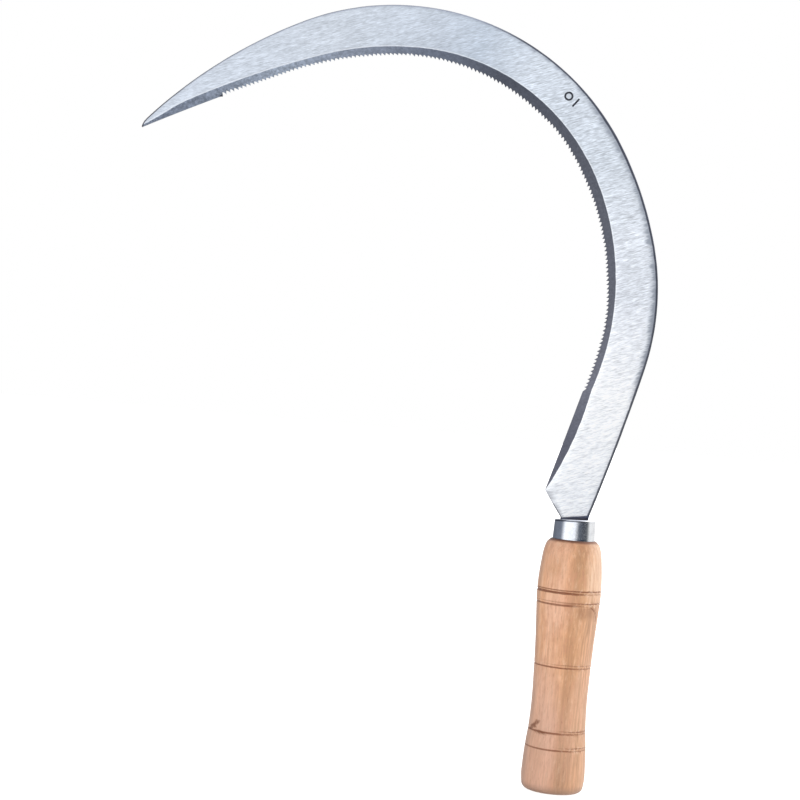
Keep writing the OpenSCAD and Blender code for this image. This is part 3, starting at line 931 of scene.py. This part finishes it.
def wood_material():
    mat, n, put = material("handle_wood")
    # growth rings round a tree axis well beside the handle, wandering a little along the grain
    place = n.node("ShaderNodeTexCoord").outputs["Object"]
    from_axis = n.vector("MULTIPLY", n.vector("ADD", place, (0.034, -0.052, 0)).outputs[0], (1, 1, 0.035))
    length = n.vector("LENGTH", from_axis.outputs[0])
    wander = n.grain((40, 40, 9), detail=2)
    ring = n.mul_add(length.outputs["Value"], 420.0, n.mul(wander, 3.0))
    bands = n.noise(ring, detail=2, roughness=0.45, dims="1D")
    streak = n.grain((900, 900, 26), shift=(1, 2, 3), detail=4, roughness=0.6)
    fibre = n.grain((2600, 2600, 120), shift=(5, 1, 7), detail=3, roughness=0.6)
    patch = n.grain((70, 70, 22), shift=(2, 9, 4), detail=2)
    pore = n.grain((2000, 2000, 260), shift=(9, 4, 1), detail=1)
    fleck = n.grain((480, 480, 150), shift=(8, 2, 6), detail=3, roughness=0.65)
    base = n.mix(n.remap(bands, 0.25, 0.75), (0.64, 0.325, 0.172), (0.745, 0.41, 0.23))
    cloud = n.grain((110, 110, 45), shift=(4, 7, 2), detail=3, roughness=0.6)
    base = n.mix(n.remap(patch, 0.4, 0.66, 0.0, 0.55), base, (0.715, 0.415, 0.29))
    base = n.times(base, n.grey(n.remap(cloud, 0.3, 0.7), 0.11))
    # painted shade: a darker tan band down the front's right side, deepest below the collar and at the butt
    x, y, z = n.split(place)
    turn = n.math("ARCTAN2", x, n.mul(y, -1.0))
    turn = n.add(turn, n.mul_add(wander, 0.5, -0.25))
    tan = n.band(turn, -0.22, 0.12, 0.26, 0.72)
    ends = n.math("MAXIMUM", n.remap(z, 0.0, 0.035, 1.0, 0.62), n.remap(z, 0.105, 0.13, 0.62, 0.95))
    base = n.mix(n.mul(tan, ends), base, (0.47, 0.255, 0.135))
    # painted highlight: a lighter rosy band down the front's left side
    rosy_highlight = n.mul(n.band(turn, -1.15, -0.7, -0.45, -0.05), n.remap(cloud, 0.35, 0.6, 0.25, 1.0), 0.45)
    base = n.mix(rosy_highlight, base, (0.8, 0.49, 0.34))
    base = n.mix(n.remap(fleck, 0.5, 0.7, 0.0, 0.6), base, (0.56, 0.275, 0.165))
    base = n.mix(n.remap(fleck, 0.3, 0.48, 0.34, 0.0), base, (0.84, 0.56, 0.39))
    # the grip's upper half is lighter and its lower half rosier; its right side below the collar is painted
    # darker and browner as shade
    base = n.times(base, n.remap(z, 0.01, 0.075, 1.0, 1.12))
    low_rosy = n.mul(n.remap(z, 0.03, 0.075, 0.5, 0.0), n.remap(turn, -0.3, 0.1, 1.0, 0.4))
    base = n.mix(low_rosy, base, (0.68, 0.415, 0.315))
    right_shade = n.mul(n.band(turn, 0.35, 0.75, 1.6, 2.5), n.fall(z, 0.1, 0.112),
                  n.remap(streak, 0.34, 0.66, 1.0, 0.35))
    base = n.mix(n.mul(right_shade, 0.8), base, (0.52, 0.29, 0.165))
    shady = n.mul(n.remap(z, 0.07, 0.082), n.remap(cloud, 0.38, 0.58, 0.15, 1.0))
    base = n.mix(n.mul(right_shade, n.mul(shady, 0.75)), base, (0.4, 0.205, 0.11))
    # painted shade: the left side, turned away from the light, is darker and greyer
    left_shade = n.mul(n.band(turn, -2.4, -1.7, -1.45, -1.0), 0.5)
    base = n.mix(left_shade, base, (0.4, 0.26, 0.19))
    # brown patch of lifted fibres beside the tear
    ragged = n.remap(n.mul_add(streak, 0.006, z), 0.096, 0.101)
    lifted = n.mul(n.band(turn, 0.1, 0.4, 0.95, 1.15), ragged, n.fall(z, 0.101, 0.1016),
                   n.remap(fibre, 0.36, 0.6, 0.35, 1.0), 0.9)
    base = n.mix(lifted, base, (0.4, 0.195, 0.1))
    # painted highlight: a pale strip down the right side, strongest near the collar
    pale_highlight = n.mul(n.band(turn, 0.28, 0.66, 1.8, 2.6), n.remap(streak, 0.36, 0.6, 0.45, 1.0),
                 n.remap(z, 0.098, 0.115, 0.1, 0.72))
    base = n.mix(pale_highlight, base, (0.79, 0.59, 0.43))
    # scorched blotches near the collar
    stain = n.mul(n.remap(z, 0.112, 0.134), n.remap(cloud, 0.46, 0.66), 0.5)
    base = n.mix(stain, base, (0.44, 0.2, 0.11))
    base = n.times(base, n.grey(n.remap(streak, 0.3, 0.7), 0.075))
    base = n.times(base, n.grey(n.remap(fibre, 0.3, 0.7), 0.055))
    base = n.mix(n.remap(pore, 0.64, 0.76, 0.0, 0.35), base, (0.34, 0.16, 0.08))
    torn = n.attribute("torn")
    # the burn values darken the burnt groove lines, and paint shade on the shoulder, the nose and the slot
    # under and inside the ferrule
    singe_and_shade = n.mul(n.attribute("burn_and_shade"), n.grey(fibre, 0.25))
    base = n.mix(n.remap(singe_and_shade, 0.08, 0.9, 0.0, 0.88), base, (0.25, 0.085, 0.034))
    # painted shadow: a dark line right below the ferrule, strongest on the left
    under = n.mul_add(cloud, 0.0012, z)
    under = n.mul(n.remap(under, 0.1358, 0.1368), n.remap(turn, 0.1, 1.0, 1.0, 0.5), 0.9)
    base = n.mix(under, base, (0.13, 0.045, 0.022))
    # painted shade: the butt's rounded edge is darker and greyer
    base = n.mix(n.remap(z, 0.0, 0.0058, 0.9, 0.0), base, (0.33, 0.205, 0.145))
    # torn fibres round the lines: fresh pale ends and dark gaps
    shred = n.grain((620, 620, 560), shift=(3, 8, 5), detail=2, roughness=0.6)
    base = n.mix(n.mul(torn, n.remap(shred, 0.52, 0.66), 0.7), base, (0.86, 0.66, 0.5))
    base = n.mix(n.mul(torn, n.fall(shred, 0.36, 0.52), 0.7), base, (0.34, 0.155, 0.07))
    scar = n.mul(n.attribute("scar"), n.grey(streak, 0.4))
    base = n.mix(n.remap(scar, 0.12, 0.7, 0.0, 0.92), base, (0.235, 0.088, 0.038))
    put("Base Color", base)
    put("Roughness", n.mul_add(streak, 0.2, 0.42))
    put("Specular IOR Level", 0.4)
    put("Sheen Weight", 0.22)
    put("Sheen Roughness", 0.4)
    normal = n.bump(streak, 0.00012, 0.35)
    put("Normal", n.bump(fibre, 0.00005, 0.5, normal))
    return mat


# ---- the pieces
steel = steel_material()
ink = ink_material()
blade = build_blade()
blade.data.materials.append(steel)
blade.data.materials.append(ink)
cut_mark(blade, ink)
shade(blade.data, 32)
blade_attributes(blade)

handle = build_handle()
handle.data.materials.append(wood_material())
ferrule = build_ferrule()
ferrule.data.materials.append(ferrule_material())

for piece, node, slot in (
    (blade, "blade", "blade_steel"),
    (ferrule, "ferrule", "ferrule_steel"),
    (handle, "handle", "handle_wood"),
):
    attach(piece, "root")
    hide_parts(node)


# ---- floor, light and camera
def build_floor():
    size, rings, around, level = 12.0, 6, 64, -0.0003
    verts = [(0, 0, level)]
    for i in range(1, rings + 1):
        r = size * (i / rings) ** 2
        turns = [2 * math.pi * k / around for k in range(around)]
        verts += [(r * math.cos(t), r * math.sin(t), level) for t in turns]
    faces = [(0, 1 + k, 1 + (k + 1) % around) for k in range(around)]
    for i in range(rings - 1):
        a, b = 1 + i * around, 1 + (i + 1) * around
        faces += [(a + k, b + k, b + (k + 1) % around, a + (k + 1) % around) for k in range(around)]
    floor = new_object("floor", verts, faces)
    mat = bpy.data.materials.new("floor_white")
    n = fresh_nodes(mat)
    diffuse = n.node("ShaderNodeBsdfDiffuse")
    diffuse.inputs["Color"].default_value = (0.85, 0.85, 0.85, 1)
    glow = n.node("ShaderNodeEmission")
    seen = n.node("ShaderNodeLightPath").outputs["Is Camera Ray"]
    n.link(n.mul_add(seen, 0.55, 0.3), glow.inputs["Strength"])
    both = n.node("ShaderNodeAddShader")
    n.link(diffuse.outputs[0], both.inputs[0])
    n.link(glow.outputs[0], both.inputs[1])
    out = n.node("ShaderNodeOutputMaterial")
    n.link(both.outputs[0], out.inputs["Surface"])
    floor.data.materials.append(mat)
    floor.visible_glossy = False


def build_world():
    """A white studio. Metal mirrors darker walls low on both sides; the rest is lit evenly and softly."""
    world = bpy.data.worlds.new("studio")
    scene.world = world
    n = fresh_nodes(world)
    x, y, z = n.split(n.node("ShaderNodeTexCoord").outputs["Generated"])
    turn = n.math("ARCTAN2", x, n.mul(y, -1.0))
    share = n.mul_add(turn, 1 / (2 * math.pi), 0.5)

    def round_about(*stops):
        """Colours by the direction in degrees, from behind through -X, the front (0) and +X to behind."""
        return ramp_node(n, share, [(degrees / 360 + 0.5, colour) for degrees, colour in stops])

    slate, white, warm, behind = (0.16, 0.175, 0.21), (1.3, 1.3, 1.33), (1.02, 1.0, 0.97), (0.45, 0.46, 0.48)
    bands = round_about(
        (-180, behind), (-150, slate), (-86, (0.18, 0.2, 0.25)), (-54, white), (-5, white),
        (21, (0.09, 0.105, 0.135)), (45, (0.035, 0.045, 0.065)), (67, (0.1, 0.11, 0.12)), (90, warm),
        (165, warm), (180, behind),
    )
    upper = round_about(
        (-180, (0.8,) * 3), (-140, (0.35, 0.36, 0.38)), (-75, (0.35, 0.36, 0.38)),
        (-50, (1.45,) * 3), (25, (1.45,) * 3), (50, (2.2, 2.15, 2.1)), (140, (2.2, 2.15, 2.1)),
        (180, (0.8,) * 3),
    )
    # a grey flag just under eye level, so the collar's bright band fades out sooner
    flagged = round_about(
        (-180, behind), (-150, slate), (-108, (0.2, 0.22, 0.265)), (-84, (0.27, 0.29, 0.34)),
        (-54, white), (-18, white), (-6, (0.86, 0.87, 0.9)), (6, (0.47, 0.485, 0.52)),
        (18, (0.19, 0.205, 0.24)), (30, (0.09, 0.105, 0.135)), (46, (0.055, 0.065, 0.085)),
        (66, (0.11, 0.12, 0.13)), (90, warm), (165, warm), (180, behind),
    )
    at_flag = n.band(z, -0.11, -0.09, -0.02, -0.004)
    bands = n.mix(at_flag, bands, flagged)
    low = n.fall(z, 0.06, 0.12)
    mirrored = n.mix(low, upper, bands)
    soft = round_about(
        (-180, (0.75, 0.76, 0.78)), (-110, (0.72, 0.73, 0.76)), (-40, (0.86, 0.86, 0.87)),
        (20, (0.8, 0.79, 0.78)), (75, (1.0, 0.98, 0.96)), (130, (1.1, 1.08, 1.05)),
        (180, (0.75, 0.76, 0.78)),
    )
    path = n.node("ShaderNodeLightPath")
    light = n.mix(path.outputs["Is Glossy Ray"], soft, mirrored)
    light = n.mix(path.outputs["Is Camera Ray"], light, (1, 1, 1))
    back = n.node("ShaderNodeBackground")
    n.link(light, back.inputs["Color"])
    back.inputs["Strength"].default_value = 1.0
    out = n.node("ShaderNodeOutputWorld")
    n.link(back.outputs[0], out.inputs["Surface"])


def build_light():
    data = bpy.data.lights.new("side_softbox", "AREA")
    data.shape = "RECTANGLE"
    data.size, data.size_y = 0.9, 1.3
    data.energy = 4.5
    data.color = (1.0, 0.97, 0.93)
    lamp = bpy.data.objects.new("side_softbox", data)
    scene.collection.objects.link(lamp)
    at, target = Vector((1.25, -0.15, 0.55)), Vector((0, 0, 0.12))
    lamp.location = at
    lamp.rotation_euler = (target - at).to_track_quat("-Z", "Y").to_euler()
    lamp.visible_glossy = False
    lamp.visible_camera = False


def build_camera():
    focal, image_width = 1850, 800  # in pixels
    data = bpy.data.cameras.new("camera")
    data.sensor_width = 36.0
    data.lens = data.sensor_width * focal / image_width
    camera = bpy.data.objects.new("camera", data)
    scene.collection.objects.link(camera)
    roll = math.radians(5.1)
    right = Vector((math.cos(roll), 0, math.sin(roll)))
    up = Vector((-math.sin(roll), 0, math.cos(roll)))
    back = Vector((0, -1, 0))
    turn = Matrix((right, up, back)).transposed().to_4x4()
    camera.matrix_world = Matrix.Translation((-0.1008, -1.0064, MOUTH * MM + 0.0566)) @ turn
    data.clip_start, data.clip_end = 0.05, 60
    scene.camera = camera


build_floor()
build_world()
build_light()
build_camera()
scene.view_settings.view_transform = "Standard"
scene.view_settings.look = "None"
